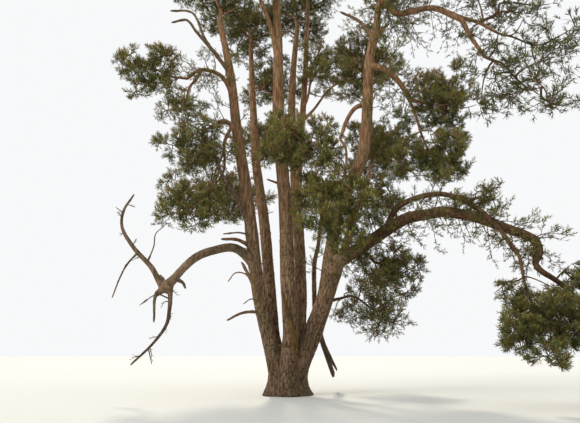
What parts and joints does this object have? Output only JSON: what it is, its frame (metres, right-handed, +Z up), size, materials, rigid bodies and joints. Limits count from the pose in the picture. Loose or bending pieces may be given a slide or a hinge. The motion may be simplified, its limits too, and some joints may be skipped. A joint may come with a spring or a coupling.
{
  "type": "scots pine tree",
  "caption": "Broad many-stemmed pine with a short flared trunk, long crooked boughs, dead limbs and open masses of needles, cut flat at the ground.",
  "frame": {"origin": "middle of the trunk's flat cut at ground level", "axes": "+Z up, +X to the right as seen from the front, +Y away from the viewer"},
  "size_m": [15.3107, 10.9071, 18.9578],
  "materials": {
    "old_bark": "rough, plated grey-brown bark",
    "young_bark": "thin, flaking orange-brown bark",
    "dead_wood": "bare, weathered wood",
    "needles": "dark green needles"
  },
  "bodies": {
    "root": {"arch_bough_fall": "old_bark", "arch_bough_rise": "old_bark", "arch_side_bough": "old_bark", "arch_top": "needles", "arch_under": "needles", "back_left": "needles", "back_middle": "needles", "between_lower": "needles", "between_upper": "needles", "broken_limb": "dead_wood", "centre_bough": "young_bark", "centre_high": "needles", "crown_back": "needles", "crown_back_right": "needles", "crown_front": "needles", "crown_left": "needles", "crown_left_back": "needles", "crown_middle": "needles", "crown_right": "needles", "dead_bough": "dead_wood", "dead_bough_lower": "dead_wood", "dead_bough_upper": "dead_wood", "dead_fork": "dead_wood", "far_left": "needles", "front_lower": "needles", "front_upper": "needles", "hanging_inner": "needles", "hanging_outer": "needles", "high_right_bough": "young_bark", "high_right_bough_lower": "young_bark", "high_right_bough_upper": "young_bark", "high_right_lower": "needles", "high_right_middle": "needles", "high_right_upper": "needles", "left_behind": "needles", "left_bough": "young_bark", "left_droop": "needles", "left_high_bough": "young_bark", "left_lower": "needles", "left_upper": "needles", "low_right": "needles", "right_behind": "needles", "right_behind_high": "needles", "right_bough": "young_bark", "right_inner": "needles", "right_lower": "needles", "right_middle": "needles", "stem_back": "old_bark", "stem_back_right": "young_bark", "stem_left": "old_bark", "stem_left_back": "old_bark", "stem_middle": "old_bark", "stem_middle_fork": "young_bark", "stem_right": "old_bark", "stem_right_back": "old_bark", "stem_right_top": "young_bark", "thin_stem": "young_bark", "torn_limb": "dead_wood", "trunk": "old_bark"}
  },
  "joints": []
}
